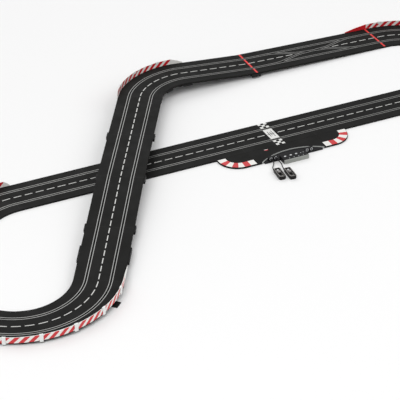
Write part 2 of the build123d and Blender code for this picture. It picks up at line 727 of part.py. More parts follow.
def lamp(x, y):
    lens = standing(LAMP_R, LAMP_L)
    lens = fillet(lens.edges().group_by(Axis.Z)[-1], LAMP_PROUD)
    return Pos(x, y, UNIT_H + LAMP_PROUD - LAMP_L) * lens


def circuit_board():
    x0, x1 = unit_sides()
    top = BOARD_Z + BOARD_T
    board = plate(x0 + TRAY_SIDE, x1 - TRAY_SIDE, UNIT_FRONT + BOARD_FRONT, UNIT_BACK - BOARD_BACK,
                  BOARD_Z, top)
    for x, y, wide, deep, high in CHIPS:
        board += plate(x - wide / 2, x + wide / 2, y - deep / 2, y + deep / 2, top, top + high)
    return board


def socket_block(centres):
    x0, x1 = min(centres) - SOCKET_BLOCK_END, max(centres) + SOCKET_BLOCK_END
    block = plate(x0, x1, SOCKET_Y, SOCKET_Y + SOCKET_BLOCK_D, BASE_T, SOCKET_BLOCK_H)
    block = fillet(block.edges().filter_by(Axis.Y).group_by(Axis.Z)[-1], SOCKET_BLOCK_CORNER)
    for x in centres:
        hole = Rot(90, 0, 0) * Cylinder(SOCKET_R, 2 * SOCKET_D)
        block -= Pos(x, SOCKET_Y, SOCKET_Z) * hole
    return block


def plug(x):
    shank = Rot(90, 0, 0) * Cylinder(SOCKET_R - SHANK_GAP, SHANK_L,
                                   align=(Align.CENTER, Align.CENTER, Align.MAX))
    body = Rot(90, 0, 0) * standing(PLUG_R, PLUG_L)
    body = chamfer(body.edges().filter_by(GeomType.CIRCLE), PLUG_CHAMFER)
    return Pos(x, SOCKET_Y, SOCKET_Z) * (shank + body)


# ======================================================================================
#  Hand controllers
# ======================================================================================
def hand_place(hand):
    x, y, yaw = hand
    return Pos(x, y, 0) * Rot(0, 0, yaw)


def hand_outline(inset=0.0):
    corner = max(HAND_CORNER - inset, INNER_CORNER_MIN)
    return RectangleRounded(HAND_W - 2 * inset, HAND_L - 2 * inset, corner)


def hand_screws():
    return (0, HAND_L / 2 - HAND_SCREW_END), (0, HAND_SCREW_END - HAND_L / 2)


def hand_base():
    base = extrude(hand_outline(), HAND_SPLIT)
    base = chamfer(base.edges().group_by(Axis.Z)[0], HAND_CHAMFER)
    base -= Pos(0, 0, HAND_FLOOR) * extrude(hand_outline(HAND_WALL), HAND_H)
    for x, y in hand_screws():
        base += Pos(x, y, HAND_FLOOR) * standing(HAND_BOSS_R, HAND_SPLIT - HAND_FLOOR)
        base -= Pos(x, y, 0) * screw_hole(HAND_SPLIT + CUTTER)
    relief = standing(RELIEF_R, RELIEF_L + HAND_WALL)
    return base + Pos(RELIEF_X, HAND_L / 2 + RELIEF_L, RELIEF_Z) * Rot(90, 0, 0) * relief


def throttle_slot():
    centre = THROTTLE_Y - THROTTLE_TRAVEL / 2
    length = THROTTLE_TRAVEL + STEM_W + SLOT_END_GAP + 2 * CUT
    return Pos(0, centre) * SlotOverall(length, STEM_W + 2 * CUT, 90)


def hand_cover():
    cover = Pos(0, 0, HAND_SPLIT) * extrude(hand_outline(), HAND_H - HAND_SPLIT)
    cover = fillet(cover.edges().group_by(Axis.Z)[-1], HAND_CHAMFER)
    cover -= Pos(0, 0, HAND_H - WELL_D) * extrude(hand_outline(WELL_INSET), WELL_D + CUTTER)
    cover -= extrude(throttle_slot(), HAND_H)
    cover -= Pos(0, LANE_BUTTON_Y, 0) * Cylinder(LANE_BUTTON_R + CUT, 2 * HAND_H)
    for x, y in hand_screws():
        cover -= Pos(x, y, 0) * extrude(Circle(SCREW_PILOT_R), HAND_SPLIT + CUTTER)
    return cover


def throttle():
    floor = HAND_H - WELL_D
    pad = Box(THROTTLE_W, THROTTLE_L, THROTTLE_H, align=(Align.CENTER, Align.CENTER, Align.MIN))
    pad = fillet(pad.edges().filter_by(Axis.Z), THROTTLE_CORNER)
    pad = fillet(pad.edges().group_by(Axis.Z)[-1], THROTTLE_ROUND)
    stem = Cylinder(STEM_W / 2, STEM_L, align=(Align.CENTER, Align.CENTER, Align.MAX))
    return Pos(0, THROTTLE_Y, floor + CUT) * (pad + stem)


def lane_button():
    floor = HAND_H - WELL_D
    cap = standing(LANE_BUTTON_R, LANE_BUTTON_L)
    cap = fillet(cap.edges().group_by(Axis.Z)[-1], LANE_BUTTON_ROUND)
    return Pos(0, LANE_BUTTON_Y, floor - LANE_BUTTON_SEAT) * cap


# ======================================================================================
#  Cords
# ======================================================================================
def cord(route):
    points = [Vector(*point) for point in route]
    radii = []
    for before, at, after in zip(points, points[1:], points[2:]):
        turn = (at - before).get_angle(after - at)
        run = min((at - before).length, (after - at).length)
        radii.append(BEND_SHARE * run / tan(radians(turn / 2)))
    path = FilletPolyline(points, radius=radii)
    start = Plane(origin=path @ 0, z_dir=path % 0)
    tube = sweep(start * Circle(CORD_D / 2), path=path)
    section = pi * CORD_D ** 2 / 4
    print("cord", round(path.length, 1), "radii", [round(r, 1) for r in radii],
          "volume ratio", round(tube.volume / (section * path.length), 4))
    return tube


# ======================================================================================
#  Writing the nodes
# ======================================================================================
def write(name, *shapes):
    solids = [solid for shape in shapes for solid in shape.solids()]
    export_step(solids[0] if len(solids) == 1 else Compound(solids), f"parts/{name}.step")


def write_track():
    section = track_section()
    straight_rails = [lane_change_rails()]
    curve_rails = []
    for name, start, heading, z0, z1 in STRAIGHTS:
        write(name, straight_run(section, start, heading, STRAIGHT, z0, z1))
        for rail in rail_sections():
            straight_rails.append(straight_run(rail, start, heading, STRAIGHT, z0, z1))
    for name, centre, angle0, angle1, z0, z1 in CURVES:
        write(name, curve_run(section, centre, angle0, angle1, z0, z1))
        for rail in rail_sections():
            curve_rails.append(curve_run(rail, centre, angle0, angle1, z0, z1))
    write("lane_change_track", lane_change_track())
    write("contact_rails_straights", *straight_rails)
    write("contact_rails_curves", *curve_rails)
    write("track_lock_clips", *lock_clips())
    for name, side in (("lane_change_flipper_outer", 1), ("lane_change_flipper_inner", -1)):
        write(name, lane_change_flipper(side))
    write("lane_change_actuators", lane_change_actuator(1), lane_change_actuator(-1))


def write_guard_rails():
    groups = {"guard_rails_right": CURVES[0:3], "guard_rail_top_left": CURVES[3:4],
              "guard_rails_left": CURVES[4:8]}
    for name, curves in groups.items():
        write(name, *[curve_run(guard_section(), *curve[1:]) for curve in curves])
    write("guard_rail_ends", *guard_ends())
    write("guard_rail_posts", *guard_posts())


def write_supports():
    heads = []
    feet = []
    for at, heading, z, slope, length, drop, lips, columns in supports():
        heads.append(support_head(at, heading, z, slope, length, drop, lips))
        feet += support_feet(at, heading, z, slope, drop, columns)
    write("support_heads", *heads)
    write("support_columns", *feet, *low_blocks())


def write_apron_and_control_unit():
    write("apron_left_end", apron_end(-1))
    write("apron_centre", apron_centre())
    write("apron_right_end", apron_end(1))
    write("apron_rim", apron_rim())
    write("control_unit_base", control_unit_base())
    write("control_unit_cover", control_unit_cover())
    write("control_unit_front", control_unit_front())
    for name, x in zip(("start_button", "pace_button", "set_button"), BUTTON_X):
        write(name, unit_button(x))
    write("status_lamps", *[lamp(x, y) for x, y in LAMPS])
    write("circuit_board", circuit_board())
    write("socket_block_left", socket_block(SOCKETS_LEFT))
    write("socket_block_right", socket_block(SOCKETS_RIGHT))
    write("controller_plugs", *[plug(x) for x in SOCKETS_LEFT])


def write_controllers():
    screws = [Pos(x, y, 0) * screw(UNIT_SCREW_L) for x, y in unit_screws()]
    for number, (hand, route) in enumerate(zip(HANDS, CORD_ROUTES), start=1):
        place = hand_place(hand)
        write(f"controller_{number}_base", place * hand_base())
        write(f"controller_{number}_cover", place * hand_cover())
        write(f"controller_{number}_throttle", place * throttle())
        write(f"controller_{number}_lane_button", place * lane_button())
        write(f"controller_{number}_cord", cord(route))
        screws += [place * Pos(x, y, 0) * screw(HAND_SCREW_L) for x, y in hand_screws()]
    write("case_screws", *screws)


def main():
    os.makedirs("parts", exist_ok=True)
    write_track()
    write_guard_rails()
    write_supports()
    write_apron_and_control_unit()
    write_controllers()


main()
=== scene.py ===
from math import asin, cos, pi, radians, sin

import bmesh
import bpy
from mathutils import Matrix, Vector


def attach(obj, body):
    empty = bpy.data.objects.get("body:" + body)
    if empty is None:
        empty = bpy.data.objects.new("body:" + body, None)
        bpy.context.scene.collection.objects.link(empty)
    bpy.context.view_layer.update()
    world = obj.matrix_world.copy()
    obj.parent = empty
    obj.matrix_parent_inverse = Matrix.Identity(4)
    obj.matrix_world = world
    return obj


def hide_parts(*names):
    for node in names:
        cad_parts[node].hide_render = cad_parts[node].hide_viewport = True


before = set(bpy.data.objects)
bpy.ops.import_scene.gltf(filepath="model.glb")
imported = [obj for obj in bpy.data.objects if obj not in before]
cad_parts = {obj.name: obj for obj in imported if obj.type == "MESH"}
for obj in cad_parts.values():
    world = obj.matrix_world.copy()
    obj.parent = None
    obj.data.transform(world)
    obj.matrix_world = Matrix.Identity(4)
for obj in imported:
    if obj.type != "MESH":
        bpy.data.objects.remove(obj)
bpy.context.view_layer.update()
MM = 0.001
FIXED = "track_set"

# ---- the part's own dimensions, in millimetres -----------------------------------------
STRAIGHT = 345.0
TURN = 60.0
RADIUS = STRAIGHT * sin(radians(TURN))
RETURN_Y = 2 * RADIUS
HALF_W = 99.0
TRACK_T = 8.0
LANE = 49.5
GUARD_IN = HALF_W + 1.5
GUARD_OUT = GUARD_IN + 2.0
GUARD_LOW = 6.0
GUARD_HIGH = 32.0
Z_BRIDGE = (68.0, 71.0, 71.0, 46.0, 24.0)         # underside at each joint, from the top down
Z_CHANGE_END = 20.0
Z_RAMP_TOP = 52.0
Z_LEFT_MIDDLE = 10.0
SOCKET_Y = -200.0
SOCKET_Z = 12.5
SOCKETS_LEFT = (590.0, 613.0)
SOCKETS_RIGHT = (764.0, 785.0)
UNIT_X = (631.0, 749.0)
UNIT_FRONT = -247.0
UNIT_H = 20.0
BUTTONS = {"start_key": 648.0, "pace_key": 675.0, "set_key": 701.0}
BUTTON_Y = -218.0
LAMPS = ((723.0, -218.0), (736.0, -218.0), (660.0, -237.0), (682.0, -237.0), (704.0, -237.0),
         (726.0, -237.0))
HANDS = ((571.5, -317.5, -5.0), (613.5, -333.2, -4.5))      # x, y and yaw of each hand controller
HAND_W = 30.0
HAND_L = 76.0
HAND_TOP = 17.0
WELL_FLOOR = 12.4
THROTTLE_TOP = WELL_FLOOR + 0.3 + 5.2

# ======================================================================================
#  Camera
# ======================================================================================
FOCAL_PX = 1860.35
FRAME_PX = 400.0
AZIMUTH = 0.42412
ELEVATION = 0.56385
ROLL = -0.0162
CAMERA_AT = Vector((-2504.18, -6304.09, 4133.92)) * MM
SENSOR = 36.0
VIEW_END = 100.0


def make_camera():
    data = bpy.data.cameras.new("camera")
    data.sensor_width = SENSOR
    data.lens = FOCAL_PX / FRAME_PX * data.sensor_width
    data.clip_end = VIEW_END
    camera = bpy.data.objects.new("camera", data)
    forward = Vector((sin(AZIMUTH) * cos(ELEVATION), cos(AZIMUTH) * cos(ELEVATION), -sin(ELEVATION)))
    level = Vector((cos(AZIMUTH), -sin(AZIMUTH), 0))
    upright = level.cross(forward)
    right = level * cos(ROLL) + upright * sin(ROLL)
    up = upright * cos(ROLL) - level * sin(ROLL)
    turn = Matrix((right, up, -forward)).transposed().to_4x4()
    camera.matrix_world = Matrix.Translation(CAMERA_AT) @ turn
    bpy.context.scene.collection.objects.link(camera)
    bpy.context.scene.camera = camera


make_camera()


# ======================================================================================
#  Materials
# ======================================================================================
PATCH_SCALE = 14.0
NOISE_RANGE = (0.3, 0.7)                      # the part of a noise that is spread out
ROUGH_RANGE = (0.85, 1.15)
GRAIN_DEPTH = 0.0002
EDGE_RADIUS = 0.0006
EDGE_TURN = (0.98, 0.80)                      # unworn and fully worn, as the cosine between the two normals
WORN_GAIN = 1.6
WORN_LIFT = 0.02


def material(name, colour, rough, grain=900.0, bump=0.15, vary=0.12, metallic=0.0, coat=0.0, wear=0.0,
             gloss=0.5):
    """Moulded or drawn stock: patchy colour, patchy gloss, fine grain and paler worn edges."""
    made = bpy.data.materials.new(name)
    made.use_nodes = True
    nodes, links = made.node_tree.nodes, made.node_tree.links
    shader = nodes["Principled BSDF"]
    shader.inputs["Metallic"].default_value = metallic
    shader.inputs["Coat Weight"].default_value = coat
    shader.inputs["Specular IOR Level"].default_value = gloss
    place = nodes.new("ShaderNodeTexCoord")

    def noise(scale, detail):
        made_noise = nodes.new("ShaderNodeTexNoise")
        made_noise.inputs["Scale"].default_value = scale
        made_noise.inputs["Detail"].default_value = detail
        links.new(place.outputs["Object"], made_noise.inputs["Vector"])
        return made_noise.outputs["Fac"]

    def spread(source, low, high):
        remap = nodes.new("ShaderNodeMapRange")
        remap.inputs["From Min"].default_value = NOISE_RANGE[0]
        remap.inputs["From Max"].default_value = NOISE_RANGE[1]
        remap.inputs["To Min"].default_value = low
        remap.inputs["To Max"].default_value = high
        links.new(source, remap.inputs["Value"])
        return remap.outputs["Result"]

    broad = noise(PATCH_SCALE, 3.0)
    fine = noise(grain, 2.0)
    tint = nodes.new("ShaderNodeMix")
    tint.data_type = "RGBA"
    tint.inputs["A"].default_value = (*[c * (1 - vary) for c in colour], 1)
    tint.inputs["B"].default_value = (*[min(1.0, c * (1 + vary)) for c in colour], 1)
    links.new(broad, tint.inputs["Factor"])
    result = tint.outputs["Result"]
    if wear:
        bevel = nodes.new("ShaderNodeBevel")
        bevel.samples = 4
        bevel.inputs["Radius"].default_value = EDGE_RADIUS
        flat = nodes.new("ShaderNodeNewGeometry")
        dot = nodes.new("ShaderNodeVectorMath")
        dot.operation = "DOT_PRODUCT"
        links.new(bevel.outputs["Normal"], dot.inputs[0])
        links.new(flat.outputs["Normal"], dot.inputs[1])
        edge = nodes.new("ShaderNodeMapRange")
        edge.inputs["From Min"].default_value = EDGE_TURN[0]
        edge.inputs["From Max"].default_value = EDGE_TURN[1]
        edge.inputs["To Max"].default_value = wear
        links.new(dot.outputs["Value"], edge.inputs["Value"])
        worn = nodes.new("ShaderNodeMix")
        worn.data_type = "RGBA"
        worn.inputs["B"].default_value = (*[min(1.0, c * WORN_GAIN + WORN_LIFT) for c in colour], 1)
        links.new(edge.outputs["Result"], worn.inputs["Factor"])
        links.new(result, worn.inputs["A"])
        result = worn.outputs["Result"]
    links.new(result, shader.inputs["Base Color"])
    dull, bright = rough * ROUGH_RANGE[1], rough * ROUGH_RANGE[0]
    links.new(spread(broad, bright, min(1.0, dull)), shader.inputs["Roughness"])
    relief = nodes.new("ShaderNodeBump")
    relief.inputs["Strength"].default_value = bump
    relief.inputs["Distance"].default_value = GRAIN_DEPTH
    links.new(fine, relief.inputs["Height"])
    links.new(relief.outputs["Normal"], shader.inputs["Normal"])
    return made


TRACK = material("track_black", (0.009, 0.009, 0.0085), 0.62, 700, 0.35, 0.18, wear=0.4, gloss=0.10)
SUPPORT = material("support_black", (0.010, 0.010, 0.010), 0.58, 700, 0.25, wear=0.3, gloss=0.18)
RAIL = material("rail_metal", (0.34, 0.34, 0.33), 0.45, 400, 0.08, 0.10, metallic=0.7)
WHITE = material("guard_white", (0.80, 0.79, 0.76), 0.35, 500, 0.05, 0.03, coat=0.2)
RED = material("stripe_red", (0.56, 0.012, 0.018), 0.38, 500, 0.05, 0.10, coat=0.2)
LINE_RED = material("line_red", (0.70, 0.025, 0.022), 0.45, 600, 0.05, 0.08)
PAINT = material("paint_white", (0.72, 0.72, 0.70), 0.50, 600, 0.08, 0.05)
DASH = material("dash_white", (0.60, 0.60, 0.58), 0.55, 600, 0.08, 0.08)
POST = material("post_white", (0.78, 0.80, 0.79), 0.30, 500, 0.05, 0.03, coat=0.3)
SEAM = material("seam_black", (0.006, 0.006, 0.006), 0.80, 600, 0.05)
RIM = material("rim_grey", (0.36, 0.37, 0.36), 0.45, 800, 0.15, 0.06, wear=0.3)
UNIT = material("unit_black", (0.007, 0.007, 0.008), 0.45, 900, 0.25, wear=0.3, gloss=0.15)
FACE = material("unit_grey", (0.30, 0.31, 0.29), 0.48, 900, 0.20, 0.06, wear=0.3)
BUTTON = material("button_grey", (0.58, 0.59, 0.60), 0.40, 700, 0.10, 0.04, wear=0.2)
LAMP = material("lamp_lens", (0.42, 0.44, 0.46), 0.20, 500, 0.03, 0.04, coat=0.6)
BOARD = material("board_green", (0.02, 0.15, 0.05), 0.35, 900, 0.20)
CORD = material("cord_black", (0.007, 0.007, 0.007), 0.55, 1200, 0.10, gloss=0.2)
HAND = material("controller_black", (0.008, 0.007, 0.007), 0.45, 900, 0.30, wear=0.4, gloss=0.18)
# pale colour of the controllers' rings and throttle grips; on the ring along the top outline it is a painted
# highlight
PALE_TRIM_AND_HIGHLIGHT = material("pale_trim_and_highlight", (0.44, 0.42, 0.40), 0.42, 900, 0.10, 0.06)
THUMB = material("throttle_grey", (0.13, 0.12, 0.12), 0.50, 700, 0.20, wear=0.5)
FLIPPER = material("flipper_grey", (0.07, 0.07, 0.07), 0.40, 700, 0.10, wear=0.4)
COIL = material("actuator_copper", (0.42, 0.22, 0.12), 0.38, 900, 0.20, metallic=0.8)
SCREW = material("screw_steel", (0.55, 0.55, 0.55), 0.32, 900, 0.10, metallic=0.9)

LOOKS = ((("track_lock_clips", "support_"), SUPPORT), (("contact_rails",), RAIL),
         (("guard_rail_posts",), POST), (("guard_rail",), WHITE), (("apron_rim",), RIM),
         (("control_unit_front",), FACE), (("control_unit", "socket_block", "controller_plugs"), UNIT),
         (("start_button", "pace_button", "set_button"), BUTTON), (("status_lamps",), LAMP),
         (("circuit_board",), BOARD), (("case_screws",), SCREW), (("lane_change_flipper",), FLIPPER),
         (("lane_change_actuators",), COIL))


def look_of(name):
    if name.startswith("controller_") and name.endswith("_throttle"):
        return THUMB
    if name.startswith("controller_") and name.endswith("_lane_button"):
        return BUTTON
    for starts, look in LOOKS:
        if name.startswith(starts):
            return look
    return HAND if name.startswith("controller_") else TRACK


for name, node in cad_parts.items():
    node.data.materials.clear()
    node.data.materials.append(look_of(name))


# ======================================================================================
#  Shapes built around the frame
# ======================================================================================
class Shape:
    """Closed solids gathered into one piece.  Each is a run of rings with the same number of points."""

    def __init__(self):
        self.verts = []
        self.faces = []

    def run(self, rings, closed=False):
        first, count = len(self.verts), len(rings[0])
        for ring in rings:
            self.verts += [Vector(p) * MM for p in ring]
        steps = len(rings) if closed else len(rings) - 1
        for k in range(steps):
            a, b = first + k * count, first + (k + 1) % len(rings) * count
            for i in range(count):
                j = (i + 1) % count
                self.faces.append((a + i, a + j, b + j, b + i))
        if not closed:
            self.faces.append(tuple(range(first, first + count)))
            self.faces.append(tuple(range(first + (len(rings) - 1) * count, first + len(rings) * count)))

    def make(self, name, look, body=FIXED, slot=None):
        mesh = bpy.data.meshes.new(name)
        mesh.from_pydata(self.verts, [], self.faces)
        tidy = bmesh.new()
        tidy.from_mesh(mesh)
        bmesh.ops.recalc_face_normals(tidy, faces=tidy.faces)
        tidy.to_mesh(mesh)
        tidy.free()
        mesh.materials.append(look)
        made = bpy.data.objects.new(name, mesh)
        bpy.context.scene.collection.objects.link(made)
        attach(made, body)
        return made


def unit(angle):
    return Vector((cos(radians(angle)), sin(radians(angle)), 0))


CURVE_STEPS = 6
CURVE_DASHES = 6
STRAIGHT_DASHES = 7
STEP_RUN = 50.0                               # a bar on a curve takes CURVE_STEPS steps for each of these


class Straight:
    def __init__(self, start, heading, length, z0, z1, dashes):
        self.start, self.heading, self.length = start, heading, length
        self.z0, self.z1, self.dashes = z0, z1, dashes
        self.steps = 1

    def at(self, s, out, z):
        """A point s along the piece, out to the left of it and z above its underside."""
        rise = self.z0 + (self.z1 - self.z0) * s / self.length
        point = self.start + unit(self.heading) * s + unit(self.heading + 90) * out
        return Vector((point.x, point.y, rise + z))


class Curve:
    def __init__(self, centre, angle0, angle1, z0, z1):
        self.centre, self.angle0, self.angle1 = centre, angle0, angle1
        self.z0, self.z1, self.dashes = z0, z1, CURVE_DASHES
        self.length = RADIUS * radians(TURN)
        self.steps = CURVE_STEPS

    def at(self, s, out, z):
        """A point s along the piece, out away from its centre and z above its underside."""
        share = s / self.length
        angle = self.angle0 + (self.angle1 - self.angle0) * share
        point = self.centre + unit(angle) * (RADIUS + out)
        return Vector((point.x, point.y, self.z0 + (self.z1 - self.z0) * share + z))


BRIDGE_TOP = unit(TURN) * (1.5 * STRAIGHT)
RIGHT_CENTRE = Vector((4.5 * STRAIGHT, RADIUS, 0))
TOP_LEFT_CENTRE = Vector((1.5 * STRAIGHT, RADIUS, 0))
LEFT_CENTRE = Vector((-2 * STRAIGHT, -RETURN_Y, 0))
RETURN_CENTRE = Vector((-1.5 * STRAIGHT, -RADIUS, 0))
LEFT_START = LEFT_CENTRE + unit(90 + TURN) * RADIUS
MAIN = [Straight(Vector(((k - 1.5) * STRAIGHT, 0, 0)), 0, STRAIGHT, 0, 0,
                 STRAIGHT_DASHES) for k in range(6)]
BRIDGE = [Straight(BRIDGE_TOP + unit(180 + TURN) * (k * STRAIGHT), 180 + TURN, STRAIGHT,
                   Z_BRIDGE[k], Z_BRIDGE[k + 1], STRAIGHT_DASHES) for k in range(4)]
CHANGE_RUN = 2 * STRAIGHT * cos(asin(Z_CHANGE_END / (2 * STRAIGHT)))
CHANGE = Straight(Vector((4.5 * STRAIGHT, RETURN_Y, 0)), 180, CHANGE_RUN, 0, Z_CHANGE_END,
                  2 * STRAIGHT_DASHES)
RAMP = Straight(Vector((2.5 * STRAIGHT, RETURN_Y, 0)), 180, STRAIGHT, Z_CHANGE_END, Z_RAMP_TOP,
                STRAIGHT_DASHES)
LEFT = Straight(LEFT_START, TURN, STRAIGHT, 0, 0, STRAIGHT_DASHES)
RIGHT_CURVES = [Curve(RIGHT_CENTRE, a, a + TURN, 0, 0) for a in (-90, -30, 30)]
TOP_LEFT_CURVE = Curve(TOP_LEFT_CENTRE, 90, 150, Z_RAMP_TOP, Z_BRIDGE[0])
LEFT_CURVES = [Curve(LEFT_CENTRE, -30, -90, Z_BRIDGE[4], Z_LEFT_MIDDLE),
               Curve(LEFT_CENTRE, -90, -150, Z_LEFT_MIDDLE, 0),
               Curve(LEFT_CENTRE, -150, -210, 0, 0), Curve(RETURN_CENTRE, 150, 90, 0, 0)]
CURVES = [*RIGHT_CURVES, TOP_LEFT_CURVE, *LEFT_CURVES]
STRAIGHTS = [*MAIN, *BRIDGE, RAMP, LEFT]


def slab(shape, piece, s0, s1, out0, out1, low, high, steps=None):
    """A flat bar on a track piece, from s0 to s1 along it."""
    steps = steps or max(1, round(piece.steps * (s1 - s0) / STEP_RUN))
    rings = []
    for k in range(steps + 1):
        s = s0 + (s1 - s0) * k / steps
        rings.append([piece.at(s, out0, low), piece.at(s, out1, low),
                      piece.at(s, out1, high), piece.at(s, out0, high)])
    shape.run(rings)


# Paint stands this far into and out of the surface.
INTO = 0.3
PROUD = 0.12
DASH_W = 4.0
DASH_SHARE = 0.70
CROSSING = (240.0, 455.0)                     # no dashes here, where the lanes cross
EDGE_MARGIN = 0.8
RAIL_CLEAR = 7.1                              # from a lane's middle to the outside of its rails
JOINT_AT, JOINT_HALF, JOINT_PROUD = 0.6, 0.45, 0.04
CHANGE_LINE_AT, CHANGE_LINE_HALF = 7.0, 4.5


def centre_dashes():
    shape = Shape()
    for piece in [*STRAIGHTS, *CURVES, CHANGE]:
        pitch = piece.length / piece.dashes
        for k in range(piece.dashes):
            middle = (k + 0.5) * pitch
            if piece is CHANGE and CROSSING[0] < middle < CROSSING[1]:
                continue
            half = pitch * DASH_SHARE / 2
            slab(shape, piece, middle - half, middle + half, -DASH_W / 2, DASH_W / 2,
                 TRACK_T - INTO, TRACK_T + PROUD)
    shape.make("centre_dashes", DASH, slot="track_plastic")


def across(shape, piece, s, half, low, high, edge=HALF_W - EDGE_MARGIN):
    """A line across the track that leaves both slots and their rails open."""
    for out0, out1 in ((-edge, -LANE - RAIL_CLEAR), (-LANE + RAIL_CLEAR, LANE - RAIL_CLEAR),
                       (LANE + RAIL_CLEAR, edge)):
        slab(shape, piece, s - half, s + half, out0, out1, low, high, 1)


def joint_lines():
    shape = Shape()
    for piece in [*STRAIGHTS, *CURVES]:
        across(shape, piece, JOINT_AT, JOINT_HALF, TRACK_T - INTO, TRACK_T + JOINT_PROUD)
    shape.make("joint_lines", SEAM, slot="track_plastic")


def change_lines():
    shape = Shape()
    for s in (CHANGE_LINE_AT, CHANGE.length - CHANGE_LINE_AT):
        across(shape, CHANGE, s, CHANGE_LINE_HALF, TRACK_T - INTO, TRACK_T + PROUD)
    shape.make("lane_change_lines", LINE_RED, slot="track_plastic")


def block(shape, x0, x1, y0, y1, z0, z1):
    shape.run([[(x, y0, z0), (x, y1, z0), (x, y1, z1), (x, y0, z1)] for x in (x0, x1)])


START_X = 690.0
START_CELL = 14.0
START_CHECKS_Y = 57.0                         # nearest edge of the chequers to the centre line
START_PANEL_GAP = 7.5
START_EDGE = 0.9
START_BARS = ((681.0, 44.0), (690.0, 30.0), (699.0, 52.0))  # x and length
START_BAR_HALF, START_BAR_PROUD = 1.6, 0.05


def start_strip():
    white = Shape()
    half = 1.5 * START_CELL
    low, high = TRACK_T - INTO, TRACK_T + PROUD
    block(white, START_X - half, START_X + half, -LANE + START_PANEL_GAP,
          LANE - START_PANEL_GAP, low, high)
    for side in (-1, 1):
        for row in range(3):
            for column in range(3):
                if (row + column) % 2:
                    continue
                x = START_X - half + column * START_CELL
                y0 = START_CHECKS_Y + row * START_CELL
                y1 = min(y0 + START_CELL, HALF_W - START_EDGE)
                block(white, x, x + START_CELL, *sorted((side * y0, side * y1)), low, high)
    white.make("start_strip", PAINT, slot="track_plastic")
    marks = Shape()
    for x, length in START_BARS:
        block(marks, x - START_BAR_HALF, x + START_BAR_HALF, -length / 2, length / 2,
              low, high + START_BAR_PROUD)
    marks.make("start_strip_bars", FLIPPER, slot="track_plastic")


KERB_CENTRE = (473.0, -109.0)
KERB_RADIUS = 93.0
KERB_LEAD = 6.0                               # straight run before the quarter circle
KERB_TAIL = 50.0                              # straight run after it
KERB_BANDS = 7
KERB_STEPS = 8
KERB_NEAR, KERB_FAR = 1.2, 38.0
MARK_X = (600.0, 616.0)
MARK_RED_Y = (-119.0, -115.0)
MARK_WHITE_Y = (-113.6, -111.0)


def kerb_frames(side):
    """Length of an apron end's outside, and the point at s along it and depth in from it."""
    radius, lead, tail = KERB_RADIUS, KERB_LEAD, KERB_TAIL
    cx, cy = KERB_CENTRE
    turn = pi / 2 * radius
    total = lead + turn + tail

    def at(s, depth):
        if s < lead:
            x, y = cx - radius + depth, cy + lead - s
        elif s < lead + turn:
            angle = pi + (s - lead) / radius
            x, y = cx + (radius - depth) * cos(angle), cy + (radius - depth) * sin(angle)
        else:
            x, y = cx + s - lead - turn, cy - radius + depth
        return (x if side < 0 else 2 * START_X - x), y
    return total, at


def kerbs():
    red, white = Shape(), Shape()
    for side in (-1, 1):
        total, at = kerb_frames(side)
        for k in range(KERB_BANDS):
            shape = red if k % 2 else white
            rings = []
            for i in range(KERB_STEPS + 1):
                s = total * (k + i / KERB_STEPS) / KERB_BANDS
                near, far = at(s, KERB_NEAR), at(s, KERB_FAR)
                rings.append([(*near, TRACK_T - INTO), (*far, TRACK_T - INTO),
                              (*far, TRACK_T + PROUD), (*near, TRACK_T + PROUD)])
            shape.run(rings)
    white.make("kerb_white", WHITE, slot="track_plastic")
    red.make("kerb_red", RED, slot="track_plastic")


def apron_mark():
    red, white = Shape(), Shape()
    block(red, *MARK_X, *MARK_RED_Y, TRACK_T - INTO, TRACK_T + PROUD)
    block(white, *MARK_X, *MARK_WHITE_Y, TRACK_T - INTO, TRACK_T + PROUD)
    red.make("apron_mark_red", RED, slot="track_plastic")
    white.make("apron_mark_white", PAINT, slot="track_plastic")


STRIPES = 11
STRIPE_SHARE = 0.54
STRIPE_LEAN = 20.0
STRIPE_STEPS = 8
STRIPE_MARGIN = 0.2
STRIPE_CUTS = 3
SKIN = 0.12
RED_END_X = (1400.0, 1560.0)                  # the right-hand loop's two long ends
RED_END_Y = (-90.0, 600.0)                    # they lie outside these two lines


def guard_stripes(name, curves):
    """Red bands on both faces of the guard rails, leaning to the right as each face is looked at."""
    shape = Shape()
    for piece in curves:
        growing = 1 if piece.angle1 > piece.angle0 else -1
        pitch = piece.length / STRIPES
        for face, middle_out in ((-1, GUARD_IN), (1, GUARD_OUT)):
            out0, out1 = middle_out - SKIN, middle_out + SKIN
            lean = STRIPE_LEAN * face * growing
            for k in range(STRIPES):
                middle = (k + 0.5) * pitch
                half = pitch * STRIPE_SHARE / 2
                rings = []
                for i in range(STRIPE_STEPS + 1):
                    share = i / STRIPE_STEPS
                    z = GUARD_LOW + STRIPE_MARGIN + (GUARD_HIGH - GUARD_LOW - 2 * STRIPE_MARGIN) * share
                    shift = lean * (share - 0.5)
                    ends = [min(max(middle + shift + q, STRIPE_MARGIN), piece.length - STRIPE_MARGIN)
                            for q in (-half, half)]
                    along = [ends[0] + (ends[1] - ends[0]) * j / STRIPE_CUTS for j in range(STRIPE_CUTS + 1)]
                    rings.append([piece.at(s, out0, z) for s in along]
                                 + [piece.at(s, out1, z) for s in reversed(along)])
                shape.run(rings)
    shape.make(name, RED, slot="guard_rail")


def paint_guard_ends():
    """The two long ends of the right-hand loop are red."""
    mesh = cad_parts["guard_rail_ends"].data
    mesh.materials.append(RED)
    for face in mesh.polygons:
        x, y = face.center.x / MM, face.center.y / MM
        red = RED_END_X[0] < x < RED_END_X[1] and not RED_END_Y[0] <= y <= RED_END_Y[1]
        face.material_index = 1 if red else 0


